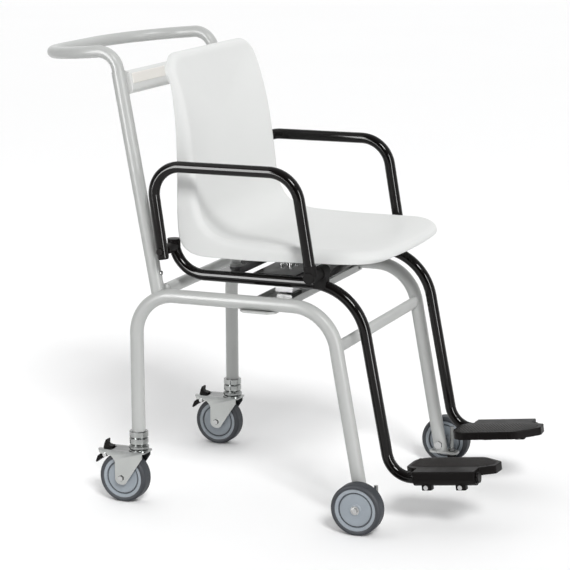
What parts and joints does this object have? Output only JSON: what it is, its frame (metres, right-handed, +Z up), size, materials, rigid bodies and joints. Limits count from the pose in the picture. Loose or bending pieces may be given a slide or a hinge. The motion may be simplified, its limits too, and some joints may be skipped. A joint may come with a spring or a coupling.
{
  "type": "chair scale",
  "caption": "Wheeled chair scale: moulded seat on a load cell, folding armrests and footplates, braked rear casters, rear push handle and a small digital read-out.",
  "frame": {"origin": "on the floor, under the middle of the outline", "axes": "+Z up, -Y the way the sitter faces, +Y towards the push handle, +X to the sitter's left"},
  "size_m": [0.5618, 0.9626, 0.9019],
  "materials": {
    "frame_paint": "satin",
    "black_paint": "gloss",
    "zinc": "satin",
    "bright_steel": "satin",
    "load_cell_alloy": "satin",
    "seat_plastic": "satin",
    "black_plastic": "matte",
    "soft_rubber": "matte",
    "grey_rubber": "matte",
    "wheel_plastic": "matte",
    "tyre_rubber": "matte",
    "housing_plastic": "satin",
    "window_glass": "clear",
    "board_green": "matte",
    "battery_skin": "gloss",
    "button_grey": "matte"
  },
  "bodies": {
    "frame": {"right_side_frame": "frame_paint", "right_upright": "frame_paint", "right_footrest_tube": "black_paint", "left_side_frame": "frame_paint", "left_upright": "frame_paint", "left_footrest_tube": "black_paint", "push_handle": "frame_paint", "rear_cross_tube": "frame_paint", "front_cross_bar": "frame_paint", "base_beam": "frame_paint", "anti_tip_brackets": "frame_paint", "load_cell": "load_cell_alloy", "load_cell_spacers": "load_cell_alloy", "load_cell_bolts": "bright_steel", "overload_stop": "bright_steel", "seat_screws": "bright_steel", "front_axles": "bright_steel", "anti_tip_studs": "bright_steel", "armrest_pins": "black_plastic", "seat_pads": "grey_rubber", "carrier_beam": "black_paint", "rear_seat_strap": "black_paint", "front_seat_strap": "black_paint", "seat_shell": "seat_plastic", "armrest_rests": "soft_rubber", "anti_tip_feet": "soft_rubber", "armrest_pivots": "black_plastic", "footrest_plugs": "black_plastic", "caster_sockets": "zinc", "display_front_shell": "housing_plastic", "display_rear_shell": "housing_plastic", "display_window": "window_glass", "display_board": "board_green", "batteries": "battery_skin", "battery_cover": "black_plastic"},
    "right_armrest_body": {"right_armrest": "black_paint", "right_armrest_caps": "soft_rubber"},
    "right_footplate_body": {"right_footplate": "black_plastic", "right_footplate_bolts": "bright_steel"},
    "right_caster": {"right_caster_fork": "zinc", "right_caster_pins": "bright_steel"},
    "right_caster_wheel": {"right_caster_hub": "wheel_plastic", "right_caster_tyre": "tyre_rubber"},
    "right_brake": {"right_brake_lever": "black_plastic"},
    "right_front_wheel": {"right_front_hub": "wheel_plastic", "right_front_tyre": "tyre_rubber"},
    "left_armrest_body": {"left_armrest": "black_paint", "left_armrest_caps": "soft_rubber"},
    "left_footplate_body": {"left_footplate": "black_plastic", "left_footplate_bolts": "bright_steel"},
    "left_caster": {"left_caster_fork": "zinc", "left_caster_pins": "bright_steel"},
    "left_caster_wheel": {"left_caster_hub": "wheel_plastic", "left_caster_tyre": "tyre_rubber"},
    "left_brake": {"left_brake_lever": "black_plastic"},
    "left_front_wheel": {"left_front_hub": "wheel_plastic", "left_front_tyre": "tyre_rubber"},
    "tare_button_body": {"tare_button": "button_grey"},
    "hold_button_body": {"hold_button": "button_grey"},
    "power_button_body": {"power_button": "button_grey"}
  },
  "joints": [
    {"name": "right_armrest_fold", "type": "hinge", "parent": "frame", "child": "right_armrest_body", "pos_m": [-0.2465, 0.1691, 0.514], "axis": [-1, 0, 0], "range_deg": [0, 100]},
    {"name": "right_footplate_fold", "type": "hinge", "parent": "frame", "child": "right_footplate_body", "pos_m": [-0.19, -0.37869, 0.10589], "axis": [0, -0.9934, 0.1149], "range_deg": [0, 90]},
    {"name": "right_caster_swivel", "type": "hinge", "parent": "frame", "child": "right_caster", "pos_m": [-0.228, 0.2361, 0.11], "axis": [0, 0, 1], "continuous": true},
    {"name": "right_caster_roll", "type": "hinge", "parent": "right_caster", "child": "right_caster_wheel", "pos_m": [-0.228, 0.2671, 0.05], "axis": [1, 0, 0], "continuous": true},
    {"name": "right_brake_rock", "type": "hinge", "parent": "right_caster", "child": "right_brake", "pos_m": [-0.228, 0.3021, 0.0945], "axis": [-1, 0, 0], "range_deg": [0, 8]},
    {"name": "right_front_roll", "type": "hinge", "parent": "frame", "child": "right_front_wheel", "pos_m": [-0.2625, -0.2384, 0.05], "axis": [1, 0, 0], "continuous": true},
    {"name": "left_armrest_fold", "type": "hinge", "parent": "frame", "child": "left_armrest_body", "pos_m": [0.2465, 0.1691, 0.514], "axis": [-1, 0, 0], "range_deg": [0, 100]},
    {"name": "left_footplate_fold", "type": "hinge", "parent": "frame", "child": "left_footplate_body", "pos_m": [0.19, -0.37869, 0.10589], "axis": [0, 0.9934, -0.1149], "range_deg": [0, 90]},
    {"name": "left_caster_swivel", "type": "hinge", "parent": "frame", "child": "left_caster", "pos_m": [0.228, 0.2361, 0.11], "axis": [0, 0, 1], "continuous": true},
    {"name": "left_caster_roll", "type": "hinge", "parent": "left_caster", "child": "left_caster_wheel", "pos_m": [0.228, 0.2671, 0.05], "axis": [1, 0, 0], "continuous": true},
    {"name": "left_brake_rock", "type": "hinge", "parent": "left_caster", "child": "left_brake", "pos_m": [0.228, 0.3021, 0.0945], "axis": [-1, 0, 0], "range_deg": [0, 8]},
    {"name": "left_front_roll", "type": "hinge", "parent": "frame", "child": "left_front_wheel", "pos_m": [0.2625, -0.2384, 0.05], "axis": [1, 0, 0], "continuous": true},
    {"name": "tare_button_press", "type": "slide", "parent": "frame", "child": "tare_button_body", "axis": [0, -0.9842, 0.1772], "range_m": [0, 0.0015], "stiffness_N_per_m": 300},
    {"name": "hold_button_press", "type": "slide", "parent": "frame", "child": "hold_button_body", "axis": [0, -0.9842, 0.1772], "range_m": [0, 0.0015], "stiffness_N_per_m": 300},
    {"name": "power_button_press", "type": "slide", "parent": "frame", "child": "power_button_body", "axis": [0, -0.9842, 0.1772], "range_m": [0, 0.0015], "stiffness_N_per_m": 300}
  ]
}
